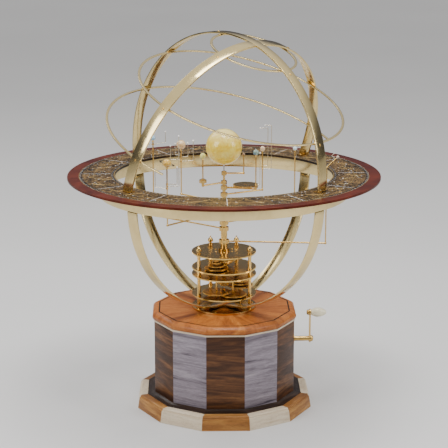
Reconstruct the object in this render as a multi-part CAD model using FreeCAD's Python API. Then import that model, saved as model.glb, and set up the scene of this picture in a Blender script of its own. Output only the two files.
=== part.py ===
import FreeCAD, Part
import math
import os

# Hand-cranked brass orrery on a twelve-sided wooden case, with an armillary hemisphere above.
# Millimetres and degrees. Origin: centre of the case's underside. +Z up, the front is at -Y.

Vector = FreeCAD.Vector
UP = Vector(0, 0, 1)

# ---------------------------------------------------------------- twelve-sided case
SIDES = 12
SIDE_STEP = 360.0 / SIDES
FRONT = -90.0                    # azimuth of the front facet
PLINTH_FOOT = 141.8              # centre to facet at the floor
PLINTH_BROW = 138.6              # centre to facet at the top of the sloping band
PLINTH_BROW_Z = 19.0
PLINTH_LIP = 1.6                 # quirk between the band and the bead above it
PLINTH_TOP = 22.5
PLINTH_INNER = 98.0
BOX_FACE = 113.4                 # centre to facet of the box
BOX_WALL = 10.0
BOX_TOP = 146.0
COVE_WIDTH = 12.0
COVE_HEIGHT = 3.6
LINE_PROUD = 0.8
CAP_BOTTOM = 148.5
CAP_BULGE = 3.0
CASE_TOP = 161.5
INLAY_OUTER = 106.3
INLAY_WIDTH = 2.0
INLAY_DEPTH = 2.0
FIELD_THICK = 9.0
FLOOR_BOTTOM = 4.0
FLOOR_THICK = 6.0

# ---------------------------------------------------------------- gear tower
PLATE_RADIUS = 52.3
PLATE_THICK = 2.0
BED_THICK = 3.5
LOWER_PLATE = 184.0              # undersides of the plates
MIDDLE_PLATE = 217.0
RIM_PLATE = 228.0
TOP_PLATE = 254.0
RIM_TEETH = 120
PILLARS = ((46.0, -27.0), (46.0, -153.0), (47.0, 63.0), (47.0, 117.0))   # radius, azimuth
PILLAR_RADIUS = 2.6
COLLAR_RADIUS = 3.6
FINIAL_HEIGHT = 14.0
RUNNING = 0.05                   # radial clearance of every running fit

# ---------------------------------------------------------------- wheels and arbors
MODULE = 0.8
PRESSURE_ANGLE = math.radians(25.0)
ADDENDUM = 0.65 * MODULE
DEDENDUM = 1.1 * MODULE
BACKLASH = 0.22
WHEEL_THICK = 2.0
ARBOR_RADIUS = 1.5
TOOTH_SUM = 65                   # teeth of every arbor wheel and its planet wheel together
ARBOR_DISTANCE = TOOTH_SUM * MODULE / 2
FIRST_PINION = 9
FIRST_WHEEL = 54
SECOND_PINION = 11
SECOND_WHEEL = 55
FIRST_LEVEL = 188.0
SECOND_LEVEL = 192.0
FAST_AZIMUTH = 0.0
CRANK_PINION = 12
CROWN_TEETH = 36

# ---------------------------------------------------------------- planets
# name, teeth on the arbor, wheel level, arm level, orbit radius, azimuth, globe radius, globe height
INNER_PLANETS = (
    ("mercury", 52, 197.0, 384.0, 31.5, 0.0, 2.2, 415.0),
    ("venus", 40, 201.0, 369.0, 42.0, -144.0, 4.8, 417.0),
    ("earth", 32, 205.0, 360.5, 52.0, -13.5, 4.6, 420.0),
    ("mars", 22, 209.0, 349.0, 71.5, 28.0, 4.2, 417.0),
)
OUTER_PLANETS = (
    ("jupiter", 46, 232.0, 335.0, 96.0, 136.0, 7.7, 418.0),
    ("saturn", 32, 236.2, 321.0, 128.0, -134.4, 6.7, 419.0),
    ("uranus", 17, 240.4, 302.6, 142.0, 33.0, 3.6, 409.0),
    ("neptune", 10, 244.6, 292.6, 148.0, 141.4, 4.3, 424.5),
    ("pluto", 7, 248.8, 271.7, 164.0, -6.0, 2.6, 413.0),
)
SUN_ROD_RADIUS = 1.2
TUBE_STEP = 0.5                  # growth of tube radius from one planet to the next
SUN_RADIUS = 29.0
SUN_HEIGHT = 427.0
ARM_RADIUS = 1.3
UPRIGHT_RADIUS = 1.0
HUB_HEIGHT = 6.0
HUB_WALL = 2.6
PLUTO_LEAN = 17.0                # how far the outermost globe leans out beyond its upright
PLUTO_BEND = 396.0
EARTH_DISC_TEETH = 50
EARTH_PINION_TEETH = 8
EARTH_DISC_AZIMUTH = 8.2         # of the disc's axle, about the column
EARTH_BOSS_RADIUS = 2.6
EARTH_BOSS_HEIGHT = 6.0
VENUS_COLLAR = ((2.2, 0.0, 8.0), (6.0, 5.0, 9.5), (3.4, 9.5, 11.0))   # radius, foot, top above the arm
SATURN_RING = (9.0, 12.6, 0.5)   # inner and outer radius, thickness
SATURN_RING_TILT = 18.0

# planet, moon, radius about the upright, azimuth, wire level, bead height, bead radius,
# length of the hook back inwards at the top, length of the tail on the far side of the collar
MOONS = (
    ("earth", "luna", 6.6, 5.0, 367.0, 419.0, 1.5, 0.0, 0.0),
    ("mars", "phobos", 9.0, 12.0, 388.5, 451.0, 1.1, 13.0, 0.0),
    ("mars", "deimos", 14.5, -4.0, 384.0, 455.5, 1.1, 10.5, 0.0),
    ("jupiter", "io", 10.0, 165.0, 400.5, 419.0, 1.5, 0.0, 0.0),
    ("jupiter", "europa", 14.0, 37.0, 397.0, 419.0, 1.6, 0.0, 0.0),
    ("jupiter", "ganymede", 17.4, 186.0, 393.5, 416.5, 1.4, 0.0, 0.0),
    ("jupiter", "callisto", 21.3, 20.0, 390.0, 422.8, 1.8, 0.0, 0.0),
    ("saturn", "titan", 15.6, -6.0, 386.5, 413.0, 1.4, 0.0, 0.0),
    ("saturn", "rhea", 18.4, 4.0, 383.0, 461.0, 1.3, 0.0, 0.0),
    ("saturn", "iapetus", 21.4, 150.0, 379.5, 407.0, 1.7, 0.0, 0.0),
    ("neptune", "triton", 26.0, 38.0, 414.0, 432.0, 1.3, 0.0, 13.5),
)
CHARON_SPAN = 8.0                # wire that leaves the outermost leaning rod square to it
CHARON_RISE = 5.5
CHARON_RADIUS = 0.9
WIRE_RADIUS = 0.5
MOON_HUB_HEIGHT = 2.0
MOON_HUB_WALL = 0.9

# ---------------------------------------------------------------- cradle and horizon
BAND_THICK = 3.0
CRADLE_RADIUS = 200.5            # middle of the band's thickness
CRADLE_WIDTH = 20.0
HOOP_RADIUS = 199.0
HOOP_BOTTOM = 354.0
RING_TOP = 384.0
RING_THICK = 4.0
RING_INNER = 174.0
RING_OUTER = 250.0

# ---------------------------------------------------------------- armillary hemisphere
SPHERE_CENTRE = Vector(0, 0, 405.0)
SPHERE_RADIUS = 204.0            # middle of the colures' thickness
COLURE_WIDTH = 18.0
AXIS_TILT = 19.6
AXIS_AZIMUTH = -45.0
CIRCLE_WIDTH = 4.0               # flat circles: radial width and thickness
CIRCLE_THICK = 2.0
EQUATOR_OFFSET = 33.2            # plane of each circle along the tilted axis
TROPIC_OFFSET = 114.8
POLAR_OFFSET = 189.3
EQUATOR_SWEEP = 209.0

# ---------------------------------------------------------------- crank
CRANK_Z = 105.0
CRANK_REACH = 45.0
SHAFT_RADIUS = 3.0
SLEEVE_RADIUS = 4.0
SHAFT_INNER_END = 38.0
ARM_X = 140.0
CRANK_ARM_THICK = 2.5
KNOB_LENGTH = 25.0
KNOB_RADIUS = 8.5
KNOB_PIN_RADIUS = 2.0
CROWN_FACE = 3.0


def direction(azimuth, elevation=0.0):
    """Unit vector towards an azimuth from +X and an elevation from the horizontal."""
    flat = math.cos(math.radians(elevation))
    return Vector(flat * math.cos(math.radians(azimuth)),
                  flat * math.sin(math.radians(azimuth)),
                  math.sin(math.radians(elevation)))


def at(radius, azimuth, z=0.0):
    return direction(azimuth) * radius + UP * z


def rod(start, end, radius):
    """Solid round rod between two points."""
    span = end - start
    return Part.makeCylinder(radius, span.Length, start, span)


def ring(outer, inner, z0, z1, centre=Vector(0, 0, 0)):
    """Upright tube or washer."""
    foot = centre + UP * z0
    return Part.makeCylinder(outer, z1 - z0, foot).cut(Part.makeCylinder(inner, z1 - z0, foot))


def fused(first, *others):
    return first.fuse(list(others)).removeSplitter()


def outline(start, *steps):
    """Closed face in the XZ plane: a step is an (x, z) corner, or a (middle, end) pair for an arc."""
    points = [Vector(start[0], 0, start[1])]
    edges = []
    for step in steps + (start,):
        if isinstance(step[0], tuple):
            middle, end = (Vector(p[0], 0, p[1]) for p in step)
            edges.append(Part.Arc(points[-1], middle, end).toShape())
        else:
            end = Vector(step[0], 0, step[1])
            if end.isEqual(points[-1], 1e-6):
                continue
            edges.append(Part.makeLine(points[-1], end))
        points.append(end)
    return Part.Face(Part.Wire(edges))


def turned(profile, centre=Vector(0, 0, 0), axis=UP):
    """Solid of revolution of an XZ outline, moved so that its axis stands at centre along axis."""
    solid = profile.revolve(Vector(0, 0, 0), UP, 360)
    solid.Placement = FreeCAD.Placement(centre, FreeCAD.Rotation(UP, axis))
    return solid


# ================================================================ case
def facet_piece(profile, index):
    """One side of a twelve-sided moulding: an outline (distance out, z) between its two mitres."""
    reach = 200.0
    half = reach * math.tan(math.radians(SIDE_STEP / 2))
    profile = profile.copy()
    profile.translate(Vector(0, -half, 0))
    bar = profile.extrude(Vector(0, 2 * half, 0))
    corners = [Vector(0, 0, -1), Vector(reach, -half, -1), Vector(reach, half, -1), Vector(0, 0, -1)]
    wedge = Part.Face(Part.makePolygon(corners)).extrude(UP * reach)
    piece = bar.common(wedge).Solids[0]
    piece.rotate(Vector(0, 0, 0), UP, FRONT + SIDE_STEP * index)
    return piece


def staves(profile, first):
    """Every second side of the case, as separate mitred staves."""
    return [facet_piece(profile, index) for index in range(first, SIDES, 2)]


def moulding(profile):
    """A moulding that runs round all twelve sides."""
    return fused(*[facet_piece(profile, index) for index in range(SIDES)])


def panel(to_facet, z0, z1):
    """Flat twelve-sided board."""
    corner = to_facet / math.cos(math.radians(SIDE_STEP / 2))
    points = [at(corner, FRONT + SIDE_STEP * (index + 0.5), z0) for index in range(SIDES)]
    return Part.Face(Part.makePolygon(points + points[:1])).extrude(UP * (z1 - z0))


def plinth_profile():
    bead = PLINTH_TOP - PLINTH_BROW_Z
    quirk = PLINTH_BROW - PLINTH_LIP
    return outline((PLINTH_INNER, 0), (PLINTH_FOOT, 0), (PLINTH_BROW, PLINTH_BROW_Z), (quirk, PLINTH_BROW_Z),
                   (quirk, PLINTH_BROW_Z + 0.35 * bead),
                   ((quirk - 0.2 * bead, PLINTH_TOP - 0.2 * bead), (quirk - 0.65 * bead, PLINTH_TOP)),
                   (PLINTH_INNER, PLINTH_TOP))


def box_profile():
    return outline((BOX_FACE - BOX_WALL, PLINTH_TOP), (BOX_FACE, PLINTH_TOP),
                   (BOX_FACE, BOX_TOP), (BOX_FACE - BOX_WALL, BOX_TOP))


def cove_profile():
    foot, lip = BOX_FACE + COVE_WIDTH, PLINTH_TOP + 0.9
    top, neck = PLINTH_TOP + COVE_HEIGHT, BOX_FACE + 0.9
    return outline((BOX_FACE, PLINTH_TOP), (foot, PLINTH_TOP), (foot, lip),
                   ((BOX_FACE + 0.35 * COVE_WIDTH, lip + 0.3 * (top - lip)), (neck, top)), (BOX_FACE, top))


def cap_profile():
    crown = BOX_FACE + CAP_BULGE
    return outline((INLAY_OUTER, CAP_BOTTOM), (BOX_FACE - 0.4, CAP_BOTTOM),
                   ((crown, CAP_BOTTOM + 5.0), (crown - 2.6, CASE_TOP - 2.6)),
                   ((crown - 5.0, CASE_TOP - 0.8), (INLAY_OUTER + 1.6, CASE_TOP)),
                   (INLAY_OUTER, CASE_TOP))


def make_case(parts):
    shaft_hole = rod(Vector(BOX_FACE - 2 * BOX_WALL, 0, CRANK_Z), Vector(BOX_FACE + 5, 0, CRANK_Z), 6.0)
    parts["plinth_walnut_staves"] = staves(plinth_profile(), 0)
    parts["plinth_maple_staves"] = staves(plinth_profile(), 1)
    floor = panel(PLINTH_INNER, FLOOR_BOTTOM, FLOOR_BOTTOM + FLOOR_THICK)
    parts["cove_and_floor"] = [moulding(cove_profile()), floor]
    parts["box_walnut_staves"] = staves(box_profile(), 0)
    parts["box_pale_staves"] = [stave.cut(shaft_hole) for stave in staves(box_profile(), 1)]
    parts["maple_line"] = [moulding(outline(
        (BOX_FACE - BOX_WALL, BOX_TOP), (BOX_FACE + LINE_PROUD, BOX_TOP),
        (BOX_FACE + LINE_PROUD, CAP_BOTTOM), (BOX_FACE - BOX_WALL, CAP_BOTTOM)))]
    parts["cap_moulding"] = [moulding(cap_profile())]
    inlay_bottom = CASE_TOP - INLAY_DEPTH
    inlay_inner = INLAY_OUTER - INLAY_WIDTH
    parts["black_inlay"] = [moulding(outline(
        (inlay_inner, inlay_bottom), (INLAY_OUTER, inlay_bottom),
        (INLAY_OUTER, CASE_TOP), (inlay_inner, CASE_TOP)))]
    arbor_hole = Part.makeCylinder(ARBOR_RADIUS + 2.0, 30, at(ARBOR_DISTANCE, FAST_AZIMUTH, CASE_TOP - 20))
    parts["top_field"] = [panel(inlay_inner, CASE_TOP - FIELD_THICK, CASE_TOP).cut(arbor_hole)]


# ================================================================ toothed wheels
def tooth_half_angle(teeth, radius):
    """Half the angle that a tooth fills at a radius, for thinned involute flanks."""
    pitch = teeth * MODULE / 2
    base = pitch * math.cos(PRESSURE_ANGLE)
    involute = math.tan(PRESSURE_ANGLE) - PRESSURE_ANGLE
    if radius > base:
        local = math.acos(base / radius)
        involute -= math.tan(local) - local
    return (math.pi * MODULE / 2 - BACKLASH) / (2 * pitch) + involute


def wheel(teeth, centre, z0, bore, tooth_azimuth=0.0, thickness=WHEEL_THICK):
    """Spur wheel with one tooth centred on an azimuth."""
    pitch = teeth * MODULE / 2
    radii = (pitch - DEDENDUM, pitch - 0.1 * MODULE, pitch + ADDENDUM)
    flank = [(radius, math.degrees(tooth_half_angle(teeth, radius))) for radius in radii]
    points = []
    for index in range(teeth):
        middle = tooth_azimuth + index * 360.0 / teeth
        points += [at(radius, middle - half) for radius, half in flank]
        points += [at(radius, middle + half) for radius, half in reversed(flank)]
    body = Part.Face(Part.makePolygon(points + points[:1])).extrude(UP * thickness)
    body = body.cut(Part.makeCylinder(bore, thickness))
    body.translate(centre + UP * z0)
    return body


def half_tooth(teeth):
    return 180.0 / teeth


def meshing(driver_teeth, driver_at, driven_teeth, driven_at, z0, bores):
    """A pair in mesh: the driver points a tooth at the driven wheel, which turns a gap to it."""
    towards = math.degrees(math.atan2(driven_at.y - driver_at.y, driven_at.x - driver_at.x))
    driver = wheel(driver_teeth, driver_at, z0, bores[0], towards)
    driven = wheel(driven_teeth, driven_at, z0, bores[1], towards + 180 + half_tooth(driven_teeth))
    return driver, driven


def chord_step(teeth):
    """Angle between two arbors on the arbor circle whose wheels have this many teeth together."""
    return 2 * math.degrees(math.asin(teeth * MODULE / 2 / (2 * ARBOR_DISTANCE)))


FAST_AT = at(ARBOR_DISTANCE, FAST_AZIMUTH)
MIDDLE_AZIMUTH = FAST_AZIMUTH - chord_step(FIRST_PINION + FIRST_WHEEL)
MIDDLE_AT = at(ARBOR_DISTANCE, MIDDLE_AZIMUTH)
SLOW_AZIMUTH = MIDDLE_AZIMUTH - chord_step(SECOND_PINION + SECOND_WHEEL)
SLOW_AT = at(ARBOR_DISTANCE, SLOW_AZIMUTH)


def crown_wheel(z_pitch):
    """Contrate wheel on the fast arbor, its teeth standing up under the crank's pinion."""
    radius = CROWN_TEETH * MODULE / 2
    inner, outer = radius - CROWN_FACE / 2, radius + CROWN_FACE / 2
    root, tip = z_pitch - 1.7, z_pitch + 0.6
    disc = ring(outer, ARBOR_RADIUS, root - 2.0, root)
    narrow, wide = 0.32, 0.5
    corners = [(-wide, root - 0.5), (wide, root - 0.5), (narrow, tip), (-narrow, tip), (-wide, root - 0.5)]
    tooth = Part.Face(Part.makePolygon([Vector(inner, y, z) for y, z in corners]))
    tooth = tooth.extrude(Vector(CROWN_FACE, 0, 0)).common(Part.makeCylinder(outer, 200))
    teeth = []
    for index in range(CROWN_TEETH):
        copy = tooth.copy()
        copy.rotate(Vector(0, 0, 0), UP, (index + 0.5) * 360.0 / CROWN_TEETH)
        teeth.append(copy)
    hub = ring(5.0, ARBOR_RADIUS, root - 6.0, root - 2.0)
    whole = fused(disc, hub, *teeth)
    whole.translate(FAST_AT)
    return whole


def make_arbors(parts, planet_wheels):
    """Three upright arbors: fast for the inner planets, slow for the outer ones, one between."""
    fast = [rod(FAST_AT + UP * 16, FAST_AT + UP * (MIDDLE_PLATE + 1.2), ARBOR_RADIUS)]
    middle = [rod(MIDDLE_AT + UP * (LOWER_PLATE + 0.8), MIDDLE_AT + UP * (MIDDLE_PLATE + 1.2), ARBOR_RADIUS)]
    slow = [rod(SLOW_AT + UP * (LOWER_PLATE + 0.8), SLOW_AT + UP * (TOP_PLATE + 1.2), ARBOR_RADIUS)]
    bores = (ARBOR_RADIUS, ARBOR_RADIUS)
    pinion, first = meshing(FIRST_PINION, FAST_AT, FIRST_WHEEL, MIDDLE_AT, FIRST_LEVEL, bores)
    fast.append(pinion)
    middle.append(first)
    pinion, second = meshing(SECOND_PINION, MIDDLE_AT, SECOND_WHEEL, SLOW_AT, SECOND_LEVEL, bores)
    middle.append(pinion)
    slow.append(second)
    for group, centre, planets in ((fast, FAST_AT, INNER_PLANETS), (slow, SLOW_AT, OUTER_PLANETS)):
        for index, (name, teeth, level, *_) in enumerate(planets):
            tube = tube_radius(name)
            driver, driven = meshing(teeth, centre, TOOTH_SUM - teeth, Vector(0, 0, 0), level,
                                     (ARBOR_RADIUS, tube))
            group.append(driver)
            planet_wheels[name] = driven
    fast.append(crown_wheel(CRANK_Z - CRANK_PINION * MODULE / 2))
    parts["fast_arbor"] = fast
    parts["middle_arbor"] = middle
    parts["slow_arbor"] = slow


# ================================================================ gear tower
def plate(z0, holes, thickness=PLATE_THICK, radius=PLATE_RADIUS):
    """Round tower plate with its pillar, arbor and column holes."""
    disc = Part.makeCylinder(radius, thickness, UP * z0)
    cuts = [Part.makeCylinder(PILLAR_RADIUS, thickness, at(r, azimuth, z0)) for r, azimuth in PILLARS]
    cuts += [Part.makeCylinder(hole, thickness, centre + UP * z0) for centre, hole in holes]
    return disc.cut(cuts)


def toothed_rim(disc, z0):
    """Cut a saw-tooth rim into a tower plate."""
    depth = 1.6
    points = []
    for index in range(RIM_TEETH):
        points.append(at(PLATE_RADIUS, index * 360.0 / RIM_TEETH, z0))
        points.append(at(PLATE_RADIUS - depth, (index + 0.5) * 360.0 / RIM_TEETH, z0))
    star = Part.Face(Part.makePolygon(points + points[:1])).extrude(UP * PLATE_THICK)
    return disc.common(star)


def pillar(radius, azimuth):
    """Stepped pillar: a thin stem through the plates and thicker collars between them."""
    centre = at(radius, azimuth)
    bed = CASE_TOP + BED_THICK
    stem = Part.makeCylinder(PILLAR_RADIUS, TOP_PLATE + PLATE_THICK - CASE_TOP, centre + UP * CASE_TOP)
    floors = (bed, LOWER_PLATE, MIDDLE_PLATE, RIM_PLATE, TOP_PLATE)
    bottoms = (bed,) + tuple(z + PLATE_THICK for z in floors[1:-1])
    collars = []
    for bottom, top in zip(bottoms, floors[1:]):
        collars.append(Part.makeCylinder(COLLAR_RADIUS, 2.5, centre + UP * bottom))
        collars.append(Part.makeCylinder(COLLAR_RADIUS, 2.5, centre + UP * (top - 2.5)))
    return fused(stem, *collars)


def finial(radius, azimuth):
    """Acorn nut on a pillar's head."""
    height = FINIAL_HEIGHT
    profile = outline((0, 0), (3.4, 0), (3.4, 1.6), ((2.1, 2.6), (2.2, 3.8)), (4.3, 4.6),
                      ((4.1, 8.2), (1.4, 11.2)), ((0.9, 12.0), (1.1, 12.9)), ((0.9, 13.7), (0.4, height)),
                      (0, height))
    return turned(profile, at(radius, azimuth, TOP_PLATE + PLATE_THICK))


def screw_head(foot, outward, radius=1.8, height=1.1):
    """Low domed screw head with a slot."""
    dome = outline((0, 0), (radius, 0), (radius, 0.45 * height), ((0.65 * radius, 0.86 * height), (0.2 * radius, height)),
                   (0, height))
    head = dome.revolve(Vector(0, 0, 0), UP, 360)
    slot = Part.makeBox(3 * radius, 0.35 * radius, height, Vector(-1.5 * radius, -0.175 * radius, 0.6 * height))
    head = head.cut(slot)
    head.Placement = FreeCAD.Placement(foot, FreeCAD.Rotation(UP, outward))
    return head


def make_tower(parts):
    axis = Vector(0, 0, 0)
    bed_top = CASE_TOP + BED_THICK
    fit = ARBOR_RADIUS + RUNNING
    mars_fit = tube_radius("mars") + RUNNING
    column_fit = tube_radius("pluto") + RUNNING
    parts["bed_plate"] = [plate(CASE_TOP, ((FAST_AT, fit),), BED_THICK)]
    parts["tower_plates"] = [
        plate(LOWER_PLATE, ((axis, SUN_ROD_RADIUS), (FAST_AT, fit), (MIDDLE_AT, fit), (SLOW_AT, fit))),
        plate(MIDDLE_PLATE, ((axis, mars_fit), (FAST_AT, fit), (MIDDLE_AT, fit), (SLOW_AT, fit))),
        plate(TOP_PLATE, ((axis, column_fit), (SLOW_AT, fit))),
    ]
    rim = plate(RIM_PLATE, ((axis, mars_fit), (SLOW_AT, fit)))
    parts["tower_plates"].append(toothed_rim(rim, RIM_PLATE))
    parts["tower_pillars"] = [make(*place) for place in PILLARS for make in (pillar, finial)]
    bushing = ring(9.0, column_fit, TOP_PLATE + PLATE_THICK, TOP_PLATE + PLATE_THICK + 4.0)
    foot_block = Part.makeCylinder(7.0, 12.0, FAST_AT + UP * (FLOOR_BOTTOM + FLOOR_THICK))
    foot_block = foot_block.cut(Part.makeCylinder(ARBOR_RADIUS + RUNNING, 12.0, FAST_AT + UP * 15.8))
    flange_x = BOX_FACE
    crank_bush = rod(Vector(BOX_FACE - BOX_WALL - 6, 0, CRANK_Z), Vector(flange_x, 0, CRANK_Z), 6.0)
    crank_flange = rod(Vector(flange_x, 0, CRANK_Z), Vector(flange_x + 2.0, 0, CRANK_Z), 9.0)
    shaft_way = rod(Vector(60, 0, CRANK_Z), Vector(flange_x + 5, 0, CRANK_Z), SHAFT_RADIUS + RUNNING)
    parts["bearings"] = [bushing, foot_block, fused(crank_bush, crank_flange).cut(shaft_way)]
    screws = []
    for azimuth in range(12, 372, 60):
        screws.append(screw_head(at(47.5, azimuth, bed_top), UP))
    for azimuth in range(30, 390, 60):
        screws.append(screw_head(at(15.0, azimuth, TOP_PLATE + PLATE_THICK), UP, 1.5, 1.0))
    return screws


# ================================================================ planets and moons
PLANET_NAMES = tuple(row[0] for row in INNER_PLANETS + OUTER_PLANETS)


def tube_radius(name):
    """Outer radius of a planet's tube: each one runs over the tube of the planet inside it."""
    return SUN_ROD_RADIUS + TUBE_STEP * (PLANET_NAMES.index(name) + 1)


def planet_arm(name, arm_z, orbit, azimuth, globe_z):
    """Hub, level arm and upright in one bent piece."""
    hub = Part.makeCylinder(tube_radius(name) + HUB_WALL, HUB_HEIGHT, UP * (arm_z - HUB_HEIGHT / 2))
    hub = hub.cut(Part.makeCylinder(tube_radius(name), HUB_HEIGHT, UP * (arm_z - HUB_HEIGHT / 2)))
    corner = at(orbit, azimuth, arm_z)
    arm = rod(at(tube_radius(name) + 0.6, azimuth, arm_z), corner, ARM_RADIUS)
    elbow = Part.makeSphere(ARM_RADIUS + 0.7, corner)
    if name == "pluto":
        bend = at(orbit, azimuth, PLUTO_BEND)
        lean = rod(bend, at(orbit + PLUTO_LEAN, azimuth, globe_z), UPRIGHT_RADIUS)
        knee = Part.makeSphere(UPRIGHT_RADIUS + 0.5, bend)
        upright = fused(rod(corner, bend, UPRIGHT_RADIUS), knee, lean)
    else:
        upright = rod(corner, at(orbit, azimuth, globe_z), UPRIGHT_RADIUS)
    pieces = [arm, elbow, upright]
    if name == "venus":
        pieces += [Part.makeCylinder(radius, top - foot, corner + UP * foot) for radius, foot, top in VENUS_COLLAR]
    if name == "earth":
        axle = earth_disc_centre(corner)
        side_arm = rod(direction(EARTH_DISC_AZIMUTH) * 3 + UP * arm_z, axle + UP * arm_z, ARM_RADIUS)
        boss = Part.makeCylinder(EARTH_BOSS_RADIUS, EARTH_BOSS_HEIGHT, axle + UP * (arm_z - ARM_RADIUS - 0.4))
        pieces += [side_arm, boss]
    return fused(hub, *pieces)


def earth_disc_centre(corner):
    """Axle of the earth's toothed disc: on its own side arm, in mesh with the pinion on the upright."""
    spindle = Vector(corner.x, corner.y, 0)
    span = (EARTH_DISC_TEETH + EARTH_PINION_TEETH) * MODULE / 2
    reach = direction(EARTH_DISC_AZIMUTH)
    along = spindle.dot(reach)
    return reach * (along - math.sqrt(span ** 2 - (spindle - reach * along).Length ** 2))


def earth_gears(arm_z, orbit, azimuth):
    corner = at(orbit, azimuth)
    bores = (EARTH_BOSS_RADIUS, UPRIGHT_RADIUS)
    return meshing(EARTH_DISC_TEETH, earth_disc_centre(corner), EARTH_PINION_TEETH, corner,
                   arm_z + ARM_RADIUS + 0.8, bores)


def planet_tube(name, level, arm_z):
    outer = tube_radius(name)
    inner = outer - TUBE_STEP + RUNNING
    return ring(outer, inner, level - 0.8, arm_z + HUB_HEIGHT / 2 + 0.8)


def moon(planet_row, radius, azimuth, wire_z, bead_z, bead_radius, hook, tail):
    """Collar that turns on the planet's upright, a wire bent upwards, and a small bead."""
    name, _, _, _, orbit, planet_azimuth, _, _ = planet_row
    centre = at(orbit, planet_azimuth)
    collar = ring(UPRIGHT_RADIUS + MOON_HUB_WALL, UPRIGHT_RADIUS + RUNNING,
                  wire_z - MOON_HUB_HEIGHT / 2, wire_z + MOON_HUB_HEIGHT / 2, centre)
    corner = centre + at(radius, azimuth, wire_z)
    route = [centre + at(UPRIGHT_RADIUS + 0.4, azimuth, wire_z), corner, Vector(corner.x, corner.y, bead_z)]
    if hook:
        route.append(route[-1] - direction(azimuth) * hook)
    bead = Part.makeSphere(bead_radius, route[-1])
    wire = [collar] + bent_wire(route)
    if tail:
        start = centre - direction(azimuth) * (UPRIGHT_RADIUS + 0.4) + UP * wire_z
        end = centre - direction(azimuth) * tail + UP * wire_z
        wire += bent_wire([start, end, end + UP * 3.0])
    return [fused(*wire).cut(bead), bead]


def bent_wire(route):
    """Round wire along straight runs, with a ball in each bend."""
    runs = [rod(start, end, WIRE_RADIUS) for start, end in zip(route, route[1:])]
    return runs + [Part.makeSphere(WIRE_RADIUS, corner) for corner in route[1:-1]]


def charon(pluto_row):
    """Moon on the leaning rod: its collar turns about the lean."""
    _, _, _, _, orbit, azimuth, globe_radius, globe_z = pluto_row
    bend = at(orbit, azimuth, PLUTO_BEND)
    tip = at(orbit + PLUTO_LEAN, azimuth, globe_z)
    lean = (tip - bend).normalize()
    middle = tip - lean * (globe_radius + 2.2)
    square = (UP - lean * UP.dot(lean)).normalize()
    half = lean * (MOON_HUB_HEIGHT / 2)
    collar = rod(middle - half, middle + half, UPRIGHT_RADIUS + MOON_HUB_WALL)
    start = middle + square * (UPRIGHT_RADIUS + 0.4)
    corner = middle + square * CHARON_SPAN
    end = corner + lean * CHARON_RISE
    bead = Part.makeSphere(CHARON_RADIUS, end)
    way = rod(middle - half * 2, middle + half * 2, UPRIGHT_RADIUS + RUNNING)
    wire = fused(collar, *bent_wire([start, corner, end])).cut([way, bead])
    return [wire, bead]


def saturn_ring(centre):
    inner, outer, thick = SATURN_RING
    axis = direction(0.0, 90.0 - SATURN_RING_TILT)
    foot = centre - axis * (thick / 2)
    disc = Part.makeCylinder(outer, thick, foot, axis)
    return disc.cut(Part.makeCylinder(inner, thick, foot, axis))


def make_planets(parts, planet_wheels):
    rows = {row[0]: row for row in INNER_PLANETS + OUTER_PLANETS}
    for name, _, level, arm_z, orbit, azimuth, globe_radius, globe_z in rows.values():
        lean = PLUTO_LEAN if name == "pluto" else 0.0
        globe_at = at(orbit + lean, azimuth, globe_z)
        arm = planet_arm(name, arm_z, orbit, azimuth, globe_z)
        globe = Part.makeSphere(globe_radius, globe_at).cut(arm)
        parts[name + "_arm"] = [arm, planet_tube(name, level, arm_z), planet_wheels[name]]
        if name == "earth":
            parts["earth_arm"] += earth_gears(arm_z, orbit, azimuth)
        parts[name + "_globe"] = [globe]
        if name == "saturn":
            parts["saturn_globe"].append(saturn_ring(globe_at))
    for planet, name, *sizes in MOONS:
        parts[name] = moon(rows[planet], *sizes)
    parts["charon"] = charon(rows["pluto"])


def make_sun(parts):
    bottom = LOWER_PLATE - 1.0
    parts["sun_spindle"] = [rod(UP * bottom, UP * SUN_HEIGHT, SUN_ROD_RADIUS)]
    globe = Part.makeSphere(SUN_RADIUS, UP * SUN_HEIGHT)
    parts["sun_globe"] = [globe.cut(parts["sun_spindle"][0])]


# ================================================================ rings
def hoop(radius, width, thickness, centre, normal):
    """Flat-sided hoop: its width lies along the normal."""
    foot = centre - normal * (width / 2)
    outer = Part.makeCylinder(radius + thickness / 2, width, foot, normal)
    return outer.cut(Part.makeCylinder(radius - thickness / 2, width, foot, normal))


def slab(z0, z1):
    size = 600.0
    return Part.makeBox(size, size, z1 - z0, Vector(-size / 2, -size / 2, z0))


def half_lapped(first, second, width, joint, normals):
    """Notch two hoops of one width at their crossing: the first inside, the second outside."""
    depth = 2 * BAND_THICK
    outwards = normals[0].cross(normals[1])
    notches = []
    for start in (-depth, 0.0):
        notch = Part.makeBox(width, width, depth, Vector(-width / 2, -width / 2, start))
        notch.Placement = FreeCAD.Placement(joint, FreeCAD.Rotation(*normals, outwards, "ZXY"))
        notches.append(notch)
    return first.cut(notches[0]), second.cut(notches[1])


def make_cradle(parts):
    bed_top = CASE_TOP + BED_THICK
    centre = UP * (bed_top + BAND_THICK / 2 + CRADLE_RADIUS)
    keep = slab(bed_top - 1, HOOP_BOTTOM)
    bands = [hoop(CRADLE_RADIUS, CRADLE_WIDTH, BAND_THICK, centre, direction(azimuth)).common(keep)
             for azimuth in (45.0, -45.0)]
    crossing = UP * (bed_top + BAND_THICK / 2)
    parts["cradle_bands"] = list(half_lapped(bands[0], bands[1], CRADLE_WIDTH, crossing,
                                             (direction(45.0), direction(-45.0))))
    hoop_top = RING_TOP - RING_THICK
    hoop_centre = UP * (HOOP_BOTTOM + hoop_top) * 0.5
    parts["horizon_hoop"] = [hoop(HOOP_RADIUS, hoop_top - HOOP_BOTTOM, BAND_THICK, hoop_centre, UP)]
    parts["zodiac_ring"] = [ring(RING_OUTER, RING_INNER, hoop_top, RING_TOP)]


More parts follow.
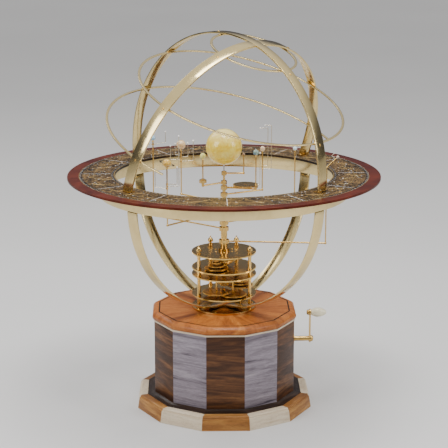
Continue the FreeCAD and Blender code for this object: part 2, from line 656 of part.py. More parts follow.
AXIS = direction(AXIS_AZIMUTH, 90.0 - AXIS_TILT)
ACROSS = direction(AXIS_AZIMUTH + 90.0)
ALONG = ACROSS.cross(AXIS)               # level with the tilted axis, towards the axis azimuth


def armillary_circle(offset):
    """Flat circle square to the tilted axis, fitted inside the colures."""
    inside = SPHERE_RADIUS - BAND_THICK / 2
    outer = math.sqrt(inside ** 2 - (offset + CIRCLE_THICK / 2) ** 2)
    foot = SPHERE_CENTRE + AXIS * (offset - CIRCLE_THICK / 2)
    disc = Part.makeCylinder(outer, CIRCLE_THICK, foot, AXIS)
    return disc.cut(Part.makeCylinder(outer - CIRCLE_WIDTH, CIRCLE_THICK, foot, AXIS))


def equator_arc():
    """The equator without the stretch that would pass below the horizon."""
    full = armillary_circle(EQUATOR_OFFSET)
    half_gap = (360.0 - EQUATOR_SWEEP) / 2
    reach = 2 * SPHERE_RADIUS
    centre = SPHERE_CENTRE + AXIS * (EQUATOR_OFFSET - CIRCLE_THICK)
    corners = [centre]
    for turn in (-half_gap, -half_gap / 2, 0.0, half_gap / 2, half_gap):
        angle = math.radians(turn)
        corners.append(centre + ALONG * (reach * math.cos(angle)) + ACROSS * (reach * math.sin(angle)))
    gap = Part.Face(Part.makePolygon(corners + corners[:1])).extrude(AXIS * (2 * CIRCLE_THICK))
    return full.cut(gap)


def foot_bracket(foot, outward, band_normal, lean):
    """Small angle bracket behind a colure's foot, one leaf on the horizon and one on the band."""
    leaf, wide, thick = 9.0, 11.0, 1.6
    level = Part.makeBox(leaf, wide, thick, Vector(0, -wide / 2, 0))
    stand = Part.makeBox(thick, wide, leaf, Vector(0, -wide / 2, 0))
    bracket = fused(level, stand)
    inward = -outward
    bracket.Placement = FreeCAD.Placement(foot, FreeCAD.Rotation(inward, UP.cross(inward), UP, "ZXY"))
    return bracket


def make_armillary(parts):
    above = slab(RING_TOP, RING_TOP + 300)
    standing = hoop(SPHERE_RADIUS, COLURE_WIDTH, BAND_THICK, SPHERE_CENTRE, ACROSS).common(above)
    leaning = hoop(SPHERE_RADIUS, COLURE_WIDTH, BAND_THICK, SPHERE_CENTRE, ALONG).common(above)
    crossing = SPHERE_CENTRE + AXIS * SPHERE_RADIUS
    standing, leaning = half_lapped(standing, leaning, COLURE_WIDTH, crossing, (ALONG, ACROSS))
    parts["standing_colure"] = [standing]
    parts["leaning_colure"] = [leaning]
    circles = {"tropic_circle": armillary_circle(TROPIC_OFFSET), "polar_circle": armillary_circle(POLAR_OFFSET),
               "equator_arc": equator_arc()}
    for name, shape in circles.items():
        parts[name] = [shape.cut([standing, leaning])]
    screws = []
    skin = SPHERE_RADIUS + BAND_THICK / 2
    for offset in (EQUATOR_OFFSET, TROPIC_OFFSET, POLAR_OFFSET):
        level = math.sqrt(skin ** 2 - offset ** 2)
        sides = [ACROSS, -ACROSS, -ALONG] + ([ALONG] if offset != EQUATOR_OFFSET else [])
        for side in sides:
            out = (AXIS * offset + side * level).normalize()
            screws.append(screw_head(SPHERE_CENTRE + out * (skin - 0.15), out).cut([standing, leaning]))
    drop = RING_TOP - SPHERE_CENTRE.z
    brackets = []
    for side, band_normal, rise in ((AXIS_AZIMUTH, ACROSS, 1.0), (AXIS_AZIMUTH + 180, ACROSS, 1.0),
                                    (AXIS_AZIMUTH + 90, ALONG, AXIS.z), (AXIS_AZIMUTH - 90, ALONG, AXIS.z)):
        foot_radius = math.sqrt((SPHERE_RADIUS - BAND_THICK / 2) ** 2 - (drop / rise) ** 2)
        foot = direction(side) * foot_radius + UP * RING_TOP
        if rise < 1.0:
            foot += direction(AXIS_AZIMUTH) * (drop * math.tan(math.radians(AXIS_TILT)))
        bracket = foot_bracket(foot, direction(side), band_normal, rise)
        brackets.append(bracket.cut([standing, leaning]))
        screws.append(screw_head(foot - direction(side) * 5.5 + UP * 1.6, UP, 1.6, 1.0))
    return brackets + screws


# ================================================================ crank
def make_crank(parts):
    shaft = rod(Vector(SHAFT_INNER_END, 0, CRANK_Z), Vector(ARM_X + CRANK_ARM_THICK, 0, CRANK_Z), SHAFT_RADIUS)
    sleeve = rod(Vector(BOX_FACE + 2.3, 0, CRANK_Z), Vector(ARM_X, 0, CRANK_Z), SLEEVE_RADIUS)
    pinion = wheel(CRANK_PINION, Vector(0, 0, 0), 0, SHAFT_RADIUS, 180, CROWN_FACE + 1.0)
    pinion_x = FAST_AT.x + CROWN_TEETH * MODULE / 2 - (CROWN_FACE + 1.0) / 2
    pinion.Placement = FreeCAD.Placement(Vector(pinion_x, 0, CRANK_Z),
                                         FreeCAD.Rotation(Vector(0, 1, 0), 90)).multiply(pinion.Placement)
    nut_profile = outline((0, 0), (5.0, 0), (5.0, 2.2), ((3.9, 3.9), (1.0, 4.6)), (0, 4.6))
    outer_x = ARM_X + CRANK_ARM_THICK
    nut = turned(nut_profile, Vector(outer_x, 0, CRANK_Z), Vector(1, 0, 0))
    parts["crank_shaft"] = [fused(shaft, sleeve), pinion, nut]

    tip = Vector(ARM_X, 0, CRANK_Z + CRANK_REACH)
    root = Vector(ARM_X, 0, CRANK_Z)
    bar = Part.makeBox(CRANK_ARM_THICK, 9.0, CRANK_REACH, Vector(ARM_X, -4.5, CRANK_Z))
    along = Vector(CRANK_ARM_THICK, 0, 0)
    arm = fused(bar, rod(root, root + along, 6.5), rod(tip, tip + along, 5.5))
    arm = arm.cut([rod(root, root + along, SHAFT_RADIUS), rod(tip, tip + along, KNOB_PIN_RADIUS)])

    pin = rod(tip - Vector(3.0, 0, 0), tip + Vector(CRANK_ARM_THICK + KNOB_LENGTH - 3.0, 0, 0), KNOB_PIN_RADIUS)
    ferrule = turned(outline((0, 0), (4.0, 0), (4.4, 1.6), ((3.6, 3.6), (1.0, 4.2)), (0, 4.2)), tip, Vector(-1, 0, 0))
    parts["crank_arm"] = [arm, fused(pin, ferrule)]

    knob_start = 0.8
    length = KNOB_LENGTH
    profile = outline((0, 0), (4.6, 0), (4.9, 1.2), ((KNOB_RADIUS, 0.5 * length), (3.4, length - 1.6)),
                      ((2.2, length - 0.4), (0.8, length)), (0, length))
    knob = turned(profile, tip + Vector(CRANK_ARM_THICK + knob_start, 0, 0), Vector(1, 0, 0))
    pin_way = rod(tip, tip + Vector(CRANK_ARM_THICK + KNOB_LENGTH - 2.5, 0, 0), KNOB_PIN_RADIUS + RUNNING)
    parts["crank_knob"] = [knob.cut(pin_way)]


def main():
    parts = {}
    planet_wheels = {}
    make_case(parts)
    make_arbors(parts, planet_wheels)
    small_fixings = make_tower(parts)
    make_sun(parts)
    make_planets(parts, planet_wheels)
    make_cradle(parts)
    small_fixings += make_armillary(parts)
    parts["brackets_and_screws"] = small_fixings
    make_crank(parts)
    os.makedirs("parts", exist_ok=True)
    for name, solids in parts.items():
        shape = solids[0] if len(solids) == 1 else Part.makeCompound(solids)
        shape.exportStep(os.path.join("parts", name + ".step"))
        print(name, len(solids), [len(s.Solids) for s in solids], all(s.isValid() for s in solids))
    print(len(parts), "nodes")


main()
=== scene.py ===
import math
import random

import bmesh
import bpy
from bpy.props import FloatProperty, FloatVectorProperty, IntProperty, PointerProperty
from mathutils import Matrix, Vector


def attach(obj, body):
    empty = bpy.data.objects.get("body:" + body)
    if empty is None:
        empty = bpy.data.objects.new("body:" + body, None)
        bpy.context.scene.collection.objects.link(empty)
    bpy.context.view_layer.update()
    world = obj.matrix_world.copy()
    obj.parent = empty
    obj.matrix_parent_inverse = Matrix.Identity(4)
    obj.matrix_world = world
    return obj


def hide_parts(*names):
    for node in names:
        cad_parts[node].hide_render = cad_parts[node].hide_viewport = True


bl_info = {
    "name": "Orrery",
    "version": (1, 0, 0),
    "blender": (4, 5, 0),
    "location": "3D View > Sidebar > Orrery",
    "description": "Builds the visible pieces of a crank-driven orrery over its mechanical frame",
    "category": "Object",
}

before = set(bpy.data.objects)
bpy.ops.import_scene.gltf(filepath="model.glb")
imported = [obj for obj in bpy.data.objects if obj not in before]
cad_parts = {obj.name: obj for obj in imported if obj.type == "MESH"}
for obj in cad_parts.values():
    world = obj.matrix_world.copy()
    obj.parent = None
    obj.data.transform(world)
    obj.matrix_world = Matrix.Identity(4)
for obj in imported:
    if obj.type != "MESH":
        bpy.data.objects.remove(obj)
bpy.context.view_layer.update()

MM = 0.001
UP = Vector((0.0, 0.0, 1.0))

# ------------------------------------------ sizes, in millimetres, and angles, in degrees
SPHERE_CENTRE = Vector((0.0, 0.0, 405.0))
SPHERE_RADIUS = 204.0            # middle of the colures' thickness
BAND_THICK = 3.0
AXIS_TILT = 19.6
AXIS_AZIMUTH = -45.0
CIRCLE_WIDTH = 4.0
CIRCLE_THICK = 2.0
EQUATOR_OFFSET = 33.2            # plane of each circle along the tilted axis
TROPIC_OFFSET = 114.8
POLAR_OFFSET = 189.3
EQUATOR_SWEEP = 209.0
HOOP_RADIUS = 199.0
HOOP_BOTTOM = 354.0
RING_BOTTOM = 380.0
RING_TOP = 384.0
RING_INNER = 174.0
RING_OUTER = 250.0
BORDER = 231.5                   # plain border of the ring from here outwards
ART_OUTER = 225.0
ART_INNER = 180.5
SUN_RADIUS = 29.0
SUN_HEIGHT = 427.0
CRANK_KNOB_START = Vector((143.3, 0.0, 150.0))
KNOB_LENGTH = 25.0
KNOB_RADIUS = 8.5
BAND_EASE = 0.35                 # rounding of the brass bands' edges
FACET_ANGLE = math.radians(30.0)    # one of the twelve sides of the case

# planet: orbit radius, azimuth, globe radius, globe height
PLANETS = {
    "mercury": (31.5, 0.0, 2.2, 415.0),
    "venus": (42.0, -144.0, 4.8, 417.0),
    "earth": (52.0, -13.5, 4.6, 420.0),
    "mars": (71.5, 28.0, 4.2, 417.0),
    "jupiter": (96.0, 136.0, 7.7, 418.0),
    "saturn": (128.0, -134.4, 6.7, 419.0),
    "uranus": (142.0, 33.0, 3.6, 409.0),
    "neptune": (148.0, 141.4, 4.3, 424.5),
    "pluto": (181.0, -6.0, 2.6, 413.0),
}
# planet, moon, radius about the upright, azimuth, wire level, bead height, bead radius, hook, tail
MOONS = (
    ("earth", "luna", 6.6, 5.0, 367.0, 419.0, 1.5, 0.0, 0.0),
    ("mars", "phobos", 9.0, 12.0, 388.5, 451.0, 1.1, 13.0, 0.0),
    ("mars", "deimos", 14.5, -4.0, 384.0, 455.5, 1.1, 10.5, 0.0),
    ("jupiter", "io", 10.0, 165.0, 400.5, 419.0, 1.5, 0.0, 0.0),
    ("jupiter", "europa", 14.0, 37.0, 397.0, 419.0, 1.6, 0.0, 0.0),
    ("jupiter", "ganymede", 17.4, 186.0, 393.5, 416.5, 1.4, 0.0, 0.0),
    ("jupiter", "callisto", 21.3, 20.0, 390.0, 422.8, 1.8, 0.0, 0.0),
    ("saturn", "titan", 15.6, -6.0, 386.5, 413.0, 1.4, 0.0, 0.0),
    ("saturn", "rhea", 18.4, 4.0, 383.0, 461.0, 1.3, 0.0, 0.0),
    ("saturn", "iapetus", 21.4, 150.0, 379.5, 407.0, 1.7, 0.0, 0.0),
    ("neptune", "triton", 26.0, 38.0, 414.0, 432.0, 1.3, 0.0, 13.5),
)
WIRE_RADIUS = 0.5
SATURN_RING = (9.0, 12.6, 0.5)   # inner and outer radius, thickness
SATURN_RING_TILT = 18.0
PLUTO_ORBIT = 164.0              # of the upright below its bend
PLUTO_BEND = 396.0
CHARON_SPAN = 8.0
CHARON_RISE = 5.5
CHARON_RADIUS = 0.9
WIRE_BEND = 1.6
WIRE_START = 1.6                 # of a moon's wire, inside its collar
TAIL_RISE = 3.0
COLLAR_DROP = 2.2                # from Pluto's globe down to Charon's collar
# turned sections, as radius and height
COLLAR = ((1.05, -1.0), (1.7, -1.0), (1.9, -0.8), (1.9, 0.8), (1.7, 1.0), (1.05, 1.0))
GLOBE_SEAT = ((0.0, -2.6), (1.5, -2.6), (1.7, -2.2), (1.7, -1.4), (1.35, -0.6), (1.2, 0.3), (0.0, 0.3))
# engraving of the ring: count, middle radius, length and width of each set of bars
DIAL_MARKS = ((360, 229.6, 2.0, 0.22), (72, 228.9, 3.4, 0.30), (36, 228.3, 4.6, 0.42),
              (12, 203.0, 43.0, 0.55), (180, 178.6, 2.6, 0.25))
# radius and width of each line that runs round the ring
DIAL_LINES = ((231.2, 0.9), (225.6, 0.4), (208.0, 0.9), (180.6, 0.35), (175.4, 1.6))
SIGNS = 12
SIGN_ANGLE = 30.0
FIGURE_RADIUS = 203.0

# ------------------------------------------ finishes
SCRATCH_SCALE = 1400.0           # of the fine wiping scratches on brass
POLISHED_STONE = 0.16            # roughness
SHARP_EDGE = math.radians(28.0)  # edges sharper than this are eased
SHADING_BREAK = math.radians(35.0)

# ------------------------------------------ stage, in metres; the lens and its sensor in millimetres
LAMPS = (                        # name, place, size, power in watts
    ("top", (0.15, -0.2, 1.9), 0.9, 30.0),
    ("left", (-1.8, -1.2, 1.3), 1.2, 28.0),
    ("right", (1.7, -0.9, 1.1), 0.9, 16.0),
    ("back", (-1.3, 1.5, 2.1), 1.2, 16.0),
)
LAMP_AIM = Vector((0.0, 0.0, 0.33))
CAMERA_PLACE = (-0.0500, -2.2569, 0.8625)
CAMERA_TILT = 76.01
CAMERA_TURN = -1.27
LENS = 115.72
SENSOR = 36.0
FLOOR_SIZE = 30.0                # half its side


def direction(azimuth, elevation=0.0):
    flat = math.cos(math.radians(elevation))
    return Vector((flat * math.cos(math.radians(azimuth)),
                   flat * math.sin(math.radians(azimuth)),
                   math.sin(math.radians(elevation))))


def at(radius, azimuth, z=0.0):
    return direction(azimuth) * radius + UP * z


AXIS = direction(AXIS_AZIMUTH, 90.0 - AXIS_TILT)
ACROSS = direction(AXIS_AZIMUTH + 90.0)
ALONG = ACROSS.cross(AXIS)


# ================================================================ node graphs
class Graph:
    """Adds nodes to a tree: an input that is a socket is linked, any other value is set."""

    def __init__(self, tree):
        self.tree = tree

    def add(self, kind, inputs=None, **settings):
        node = self.tree.nodes.new(kind)
        for key, value in settings.items():
            setattr(node, key, value)
        for key, value in (inputs or {}).items():
            if isinstance(value, bpy.types.NodeSocket):
                self.tree.links.new(value, node.inputs[key])
            else:
                node.inputs[key].default_value = value
        return node

    def calc(self, operation, first, second=0.0):
        return self.add("ShaderNodeMath", {0: first, 1: second}, operation=operation).outputs[0]

    def scaled(self, vector, scale, turn=(0.0, 0.0, 0.0)):
        node = self.add("ShaderNodeMapping", {"Vector": vector, "Scale": scale, "Rotation": turn})
        return node.outputs[0]

    def noise(self, vector, scale, detail=3.0, rough=0.5, distortion=0.0):
        values = {"Vector": vector, "Scale": scale, "Detail": detail, "Roughness": rough,
                  "Distortion": distortion}
        return self.add("ShaderNodeTexNoise", values).outputs["Fac"]

    def ramp(self, factor, *stops):
        node = self.add("ShaderNodeValToRGB", {"Fac": factor})
        elements = node.color_ramp.elements
        while len(elements) < len(stops):
            elements.new(0.5)
        for element, (position, colour) in zip(elements, stops):
            element.position = position
            element.color = (*colour, 1.0)
        return node.outputs["Color"]

    def band(self, value, low, high, out_low=0.0, out_high=1.0):
        values = {"Value": value, "From Min": low, "From Max": high, "To Min": out_low, "To Max": out_high}
        return self.add("ShaderNodeMapRange", values).outputs["Result"]

    def mix(self, factor, first, second, blend="MIX"):
        node = self.add("ShaderNodeMix", data_type="RGBA", blend_type=blend)
        for index, value in ((0, factor), (6, first), (7, second)):
            if isinstance(value, bpy.types.NodeSocket):
                self.tree.links.new(value, node.inputs[index])
            elif index == 0:
                node.inputs[index].default_value = value
            else:
                node.inputs[index].default_value = (*value, 1.0)
        return node.outputs[2]


def material(name):
    """The frame's material of that name, or a new one, emptied for a new graph."""
    found = bpy.data.materials.get(name) or bpy.data.materials.new(name)
    found.use_nodes = True
    found.node_tree.nodes.clear()
    graph = Graph(found.node_tree)
    place = graph.add("ShaderNodeTexCoord").outputs["Object"]
    return graph, place


def surface(graph, colour, roughness, bump, metallic=0.0, coat=0.0, depth=0.0002, strength=0.5,
            gloss=0.5):
    """Principled surface at the end of a material graph."""
    relief = graph.add("ShaderNodeBump", {"Height": bump, "Strength": strength, "Distance": depth})
    shader = graph.add("ShaderNodeBsdfPrincipled", {"Base Color": colour, "Roughness": roughness,
                                                    "Metallic": metallic, "Coat Weight": coat,
                                                    "Coat Roughness": 0.12, "Specular IOR Level": gloss,
                                                    "Normal": relief.outputs[0]})
    graph.add("ShaderNodeOutputMaterial", {"Surface": shader.outputs[0]})


def facet_place(graph, place):
    """Coordinates that turn with the twelve facets, X out of each, moved so that no two staves look alike."""
    axes = graph.add("ShaderNodeSeparateXYZ", {0: place})
    angle = graph.calc("ARCTAN2", axes.outputs["Y"], axes.outputs["X"])
    number = graph.calc("ROUND", graph.calc("DIVIDE", angle, FACET_ANGLE))
    back = graph.calc("MULTIPLY", number, -FACET_ANGLE)
    turned = graph.add("ShaderNodeVectorRotate", {"Vector": place, "Angle": back}, rotation_type="Z_AXIS")
    shift = graph.add("ShaderNodeCombineXYZ", {"X": graph.calc("MULTIPLY", number, 0.37),
                                               "Y": graph.calc("MULTIPLY", number, 1.31),
                                               "Z": graph.calc("MULTIPLY", number, 0.73)})
    moved = graph.add("ShaderNodeVectorMath", {0: turned.outputs[0], 1: shift.outputs[0]}, operation="ADD")
    return moved.outputs[0]


def wood(name, stops, stretch, slant=0.0, roughness=0.38, coat=0.12, faceted=True, figure=1.4):
    """Wood with long figure, fine fibres and small dark pores."""
    graph, place = material(name)
    local = facet_place(graph, place) if faceted else place
    turn = (math.radians(slant), 0.0, 0.0)
    long_grain = graph.noise(graph.scaled(local, stretch, turn), 1.0, 5.0, 0.6, figure)
    fine = tuple(12.0 * value for value in stretch)
    fibres = graph.noise(graph.scaled(local, fine, turn), 1.0, 4.0, 0.7, 0.3)
    pores = graph.noise(graph.scaled(local, tuple(2.2 * value for value in fine), turn), 1.0, 2.0, 0.6)
    colour = graph.ramp(long_grain, *stops)
    colour = graph.mix(graph.band(fibres, 0.38, 0.68, 0.0, 0.45), colour, stops[0][1])
    colour = graph.mix(graph.band(pores, 0.62, 0.74, 0.0, 0.55), colour, (0.02, 0.01, 0.006))
    rough = graph.band(fibres, 0.3, 0.7, roughness, roughness + 0.16)
    surface(graph, colour, rough, fibres, coat=coat, depth=0.0003, strength=0.35, gloss=0.25)


def brass(name, colour, tarnish, roughness, spots=0.25, relief=0.25, direction_scale=(1.0, 1.0, 1.0)):
    """Brass with soft tarnish clouds, fine wiping scratches and a roughness that follows them."""
    graph, place = material(name)
    clouds = graph.noise(place, 38.0, 4.0, 0.6, 0.8)
    stretched = graph.scaled(place, tuple(SCRATCH_SCALE * value for value in direction_scale))
    scratches = graph.noise(stretched, 1.0, 3.0, 0.7, 0.4)
    freckles = graph.noise(place, 520.0, 3.0, 0.6)
    tint = graph.mix(graph.band(clouds, 0.42, 0.72, 0.0, spots), colour, tarnish)
    tint = graph.mix(graph.band(freckles, 0.66, 0.74, 0.0, 0.5 * spots), tint, tarnish)
    rough = graph.calc("ADD", graph.band(clouds, 0.3, 0.7, roughness, roughness + 0.12),
                       graph.band(scratches, 0.4, 0.7, 0.0, 0.06))
    surface(graph, tint, rough, scratches, metallic=1.0, depth=0.00004, strength=relief)


def mineral(name, stops, scale, bands=0.0):
    """Polished stone ball: veined clouds, flattened into level belts where bands is above zero."""
    graph, place = material(name)
    squeezed = graph.scaled(place, (1.0, 1.0, 1.0 + bands))
    clouds = graph.noise(squeezed, scale, 6.0, 0.62, 1.6)
    specks = graph.noise(place, 9.0 * scale, 3.0, 0.7)
    colour = graph.ramp(clouds, *stops)
    colour = graph.mix(graph.band(specks, 0.55, 0.75, 0.0, 0.35), colour, stops[-1][1])
    rough = graph.band(specks, 0.3, 0.7, POLISHED_STONE, POLISHED_STONE + 0.1)
    surface(graph, colour, rough, specks, coat=0.5, depth=0.00003, strength=0.2)


def zodiac_patina(name):
    """Dark patinated brass with gilt engraved scrollwork inside a smooth red-brown border."""
    graph, place = material(name)
    axes = graph.add("ShaderNodeSeparateXYZ", {0: place})
    flat = graph.add("ShaderNodeCombineXYZ", {"X": axes.outputs["X"], "Y": axes.outputs["Y"]})
    radius = graph.add("ShaderNodeVectorMath", {0: flat.outputs[0]}, operation="LENGTH").outputs["Value"]
    clouds = graph.noise(place, 24.0, 5.0, 0.6, 1.0)
    base = graph.ramp(clouds, (0.3, (0.010, 0.006, 0.004)), (0.55, (0.030, 0.017, 0.009)),
                      (0.75, (0.075, 0.040, 0.018)))
    scroll = graph.noise(place, 62.0, 3.0, 0.55, 2.6)
    offset = graph.calc("ABSOLUTE", graph.calc("SUBTRACT", scroll, 0.5))
    stroke = graph.band(offset, 0.010, 0.022, 1.0, 0.0)
    hatch = graph.noise(graph.scaled(place, (900.0, 260.0, 500.0), (0.0, 0.0, 0.6)), 1.0, 2.0, 0.5)
    shade = graph.calc("MULTIPLY", graph.band(hatch, 0.5, 0.6), graph.band(clouds, 0.5, 0.6, 0.0, 0.45))
    inside = graph.calc("MULTIPLY", graph.calc("GREATER_THAN", radius, ART_INNER * MM),
                        graph.calc("LESS_THAN", radius, ART_OUTER * MM))
    top = graph.calc("GREATER_THAN", axes.outputs["Z"], (RING_TOP - 0.2) * MM)
    gilt = graph.calc("MULTIPLY", graph.calc("MULTIPLY", inside, top), graph.calc("MAXIMUM", stroke, shade))
    border = graph.calc("GREATER_THAN", radius, BORDER * MM)
    redwood = graph.ramp(clouds, (0.3, (0.060, 0.010, 0.006)), (0.7, (0.130, 0.024, 0.012)))
    base = graph.mix(border, base, redwood)
    colour = graph.mix(gilt, base, (0.42, 0.25, 0.085))
    rough = graph.band(clouds, 0.3, 0.7, 0.30, 0.46)
    groove = graph.calc("SUBTRACT", clouds, gilt)
    surface(graph, colour, rough, groove, metallic=0.35, depth=0.0002, strength=0.4, gloss=0.12)


def sun_resin(name):
    """Yellow ball, paler and clouded towards the top; the paler top is a painted highlight."""
    graph, place = material(name)
    axes = graph.add("ShaderNodeSeparateXYZ", {0: place})
    clouds = graph.noise(place, 60.0, 6.0, 0.6, 2.2)
    veins = graph.noise(place, 150.0, 4.0, 0.6, 1.5)
    colour = graph.ramp(clouds, (0.32, (0.80, 0.47, 0.030)), (0.5, (0.87, 0.62, 0.055)),
                        (0.68, (0.91, 0.72, 0.13)))
    # painted highlight: the upper part of the ball is mixed towards pale yellow, where the light from above
    # falls on it
    top_highlight = graph.band(axes.outputs["Z"], (SUN_HEIGHT + 6.0) * MM, (SUN_HEIGHT + 30.0) * MM, 0.0, 0.55)
    colour = graph.mix(top_highlight, colour, (0.95, 0.87, 0.45))
    colour = graph.mix(graph.band(veins, 0.60, 0.74, 0.0, 0.3), colour, (0.76, 0.42, 0.03))
    rough = graph.band(veins, 0.3, 0.7, 0.14, 0.24)
    surface(graph, colour, rough, veins, coat=0.35, depth=0.00005, strength=0.2)


def cream_polish(name):
    """Cream polished knob with growth lines along it and a few brown specks."""
    graph, place = material(name)
    growth = graph.noise(graph.scaled(place, (40.0, 260.0, 260.0)), 1.0, 5.0, 0.6, 0.8)
    specks = graph.noise(place, 900.0, 2.0, 0.5)
    colour = graph.ramp(growth, (0.3, (0.74, 0.60, 0.34)), (0.5, (0.87, 0.80, 0.56)),
                        (0.7, (0.93, 0.89, 0.70)))
    colour = graph.mix(graph.band(specks, 0.6, 0.75, 0.0, 0.35), colour, (0.52, 0.38, 0.19))
    surface(graph, colour, graph.band(growth, 0.3, 0.7, 0.2, 0.32), specks, coat=0.4, depth=0.00008)


def plaster_floor(name, tone):
    """Plain matt floor, very slightly clouded."""
    graph, place = material(name)
    clouds = graph.noise(place, 1.4, 4.0, 0.5)
    colour = graph.ramp(clouds, (0.3, tuple(0.97 * value for value in tone)), (0.7, tone))
    surface(graph, colour, graph.band(clouds, 0.3, 0.7, 0.62, 0.7), clouds, depth=0.0001, strength=0.1)


def make_materials():
    walnut = ((0.28, (0.020, 0.007, 0.003)), (0.45, (0.055, 0.020, 0.007)), (0.58, (0.130, 0.050, 0.016)),
              (0.74, (0.25, 0.11, 0.035)))
    golden = ((0.25, (0.13, 0.050, 0.013)), (0.45, (0.30, 0.125, 0.030)), (0.60, (0.46, 0.22, 0.055)),
              (0.80, (0.60, 0.33, 0.10)))
    maple = ((0.25, (0.46, 0.34, 0.21)), (0.50, (0.68, 0.57, 0.42)), (0.75, (0.80, 0.72, 0.58)))
    sycamore = ((0.30, (0.065, 0.052, 0.066)), (0.42, (0.22, 0.185, 0.215)), (0.60, (0.34, 0.295, 0.335)),
                (0.8, (0.50, 0.455, 0.46)))
    orange = ((0.25, (0.20, 0.050, 0.009)), (0.5, (0.42, 0.130, 0.022)), (0.75, (0.58, 0.22, 0.045)))
    dark = ((0.3, (0.010, 0.005, 0.003)), (0.6, (0.035, 0.015, 0.007)), (0.8, (0.08, 0.036, 0.016)))
    level = (24.0, 7.0, 62.0)
    wood("figured_walnut", walnut, level, 2.0)
    wood("golden_walnut", golden, level, -1.0)
    wood("light_maple", maple, (24.0, 9.0, 80.0), 1.0)
    wood("pale_sycamore", sycamore, (30.0, 9.0, 120.0), 9.0, roughness=0.45, coat=0.1, figure=0.9)
    wood("cherry", orange, (9.0, 48.0, 40.0), coat=0.15)
    wood("dark_walnut", dark, level)
    wood("ebony", ((0.3, (0.003, 0.002, 0.002)), (0.7, (0.010, 0.008, 0.007))), (9.0, 60.0, 60.0),
         roughness=0.6, coat=0.0)
    brass("polished_brass", (0.76, 0.60, 0.29), (0.44, 0.29, 0.10), 0.08, relief=0.06)
    brass("brass", (0.70, 0.46, 0.15), (0.34, 0.19, 0.05), 0.14, spots=0.4)
    brass("gear_brass", (0.62, 0.37, 0.10), (0.26, 0.14, 0.035), 0.20, spots=0.5,
          direction_scale=(1.0, 1.0, 0.15))
    brass("moon_wire", (0.80, 0.73, 0.58), (0.42, 0.33, 0.20), 0.16, relief=0.06)
    brass("steel", (0.66, 0.64, 0.60), (0.36, 0.33, 0.30), 0.20, direction_scale=(1.0, 1.0, 0.05))
    brass("gilding", (0.80, 0.55, 0.20), (0.48, 0.29, 0.09), 0.24)
    zodiac_patina("patinated_brass")
    sun_resin("sun_amber")
    cream_polish("bone_knob")
    mineral("white_enamel", ((0.3, (0.80, 0.78, 0.72)), (0.7, (0.92, 0.90, 0.86))), 500.0)
    mineral("mercury_stone", ((0.3, (0.22, 0.12, 0.07)), (0.7, (0.60, 0.40, 0.24))), 420.0)
    mineral("venus_stone", ((0.3, (0.42, 0.37, 0.06)), (0.5, (0.70, 0.64, 0.16)),
                            (0.7, (0.84, 0.80, 0.38))), 180.0)
    mineral("earth_stone", ((0.42, (0.05, 0.14, 0.26)), (0.52, (0.22, 0.34, 0.22)),
                            (0.64, (0.62, 0.60, 0.48))), 170.0)
    mineral("mars_stone", ((0.3, (0.56, 0.26, 0.10)), (0.5, (0.80, 0.56, 0.32)),
                           (0.7, (0.88, 0.74, 0.52))), 200.0)
    mineral("jupiter_stone", ((0.36, (0.42, 0.19, 0.07)), (0.5, (0.74, 0.46, 0.20)),
                              (0.64, (0.88, 0.72, 0.46))), 60.0, bands=5.0)
    mineral("saturn_stone", ((0.3, (0.50, 0.26, 0.04)), (0.5, (0.74, 0.44, 0.06)),
                             (0.7, (0.86, 0.62, 0.18))), 70.0, bands=4.0)
    mineral("uranus_stone", ((0.3, (0.50, 0.72, 0.76)), (0.7, (0.80, 0.92, 0.94))), 160.0, bands=2.0)
    mineral("neptune_stone", ((0.3, (0.10, 0.30, 0.52)), (0.7, (0.46, 0.68, 0.84))), 150.0, bands=2.0)
    mineral("pluto_stone", ((0.3, (0.30, 0.20, 0.13)), (0.7, (0.66, 0.54, 0.42))), 380.0)


# ================================================================ geometry-node trees
def new_tree(name, sockets, takes_geometry=False):
    """Tree with the named inputs; returns its graph, its input node and its output node."""
    tree = bpy.data.node_groups.new(name, "GeometryNodeTree")
    if takes_geometry:
        tree.interface.new_socket("Geometry", in_out="INPUT", socket_type="NodeSocketGeometry")
    for label, kind in sockets:
        tree.interface.new_socket(label, in_out="INPUT", socket_type="NodeSocket" + kind)
    tree.interface.new_socket("Geometry", in_out="OUTPUT", socket_type="NodeSocketGeometry")
    graph = Graph(tree)
    return graph, graph.add("NodeGroupInput").outputs, graph.add("NodeGroupOutput")


def finish_tree(graph, geometry, given, out):
    """Every tree ends in Realize Instances and Set Material."""
    real = graph.add("GeometryNodeRealizeInstances", {0: geometry})
    dressed = graph.add("GeometryNodeSetMaterial", {0: real.outputs[0], "Material": given["Material"]})
    graph.tree.links.new(dressed.outputs[0], out.inputs[0])
    return graph.tree


def band_tree():
    """Flat strip with eased edges, bent round the Z axis: a whole ring or an arc."""
    sockets = (("Radius", "Float"), ("Thickness", "Float"), ("Width", "Float"), ("Edge", "Float"),
               ("Start", "Float"), ("Sweep", "Float"), ("Steps", "Int"), ("Closed", "Bool"),
               ("Material", "Material"))
    graph, given, out = new_tree("bent_strip", sockets)
    arc = graph.add("GeometryNodeCurveArc", {"Resolution": given["Steps"], "Radius": given["Radius"],
                                             "Start Angle": given["Start"], "Sweep Angle": given["Sweep"]})
    whole = graph.add("GeometryNodeCurvePrimitiveCircle", {"Resolution": given["Steps"],
                                                           "Radius": given["Radius"]})
    path = graph.add("GeometryNodeSwitch", {"Switch": given["Closed"], "False": arc.outputs[0],
                                            "True": whole.outputs[0]}, input_type="GEOMETRY")
    level = graph.add("GeometryNodeSetCurveNormal", {0: path.outputs[0]}, mode="Z_UP")
    section = graph.add("GeometryNodeCurvePrimitiveQuadrilateral", {"Width": given["Thickness"],
                                                                    "Height": given["Width"]})
    eased = graph.add("GeometryNodeFilletCurve", {"Curve": section.outputs[0], "Radius": given["Edge"],
                                                  "Limit Radius": True, "Count": 3}, mode="POLY")
    strip = graph.add("GeometryNodeCurveToMesh", {"Curve": level.outputs[0],
                                                  "Profile Curve": eased.outputs[0], "Fill Caps": True})
    return finish_tree(graph, strip.outputs[0], given, out)


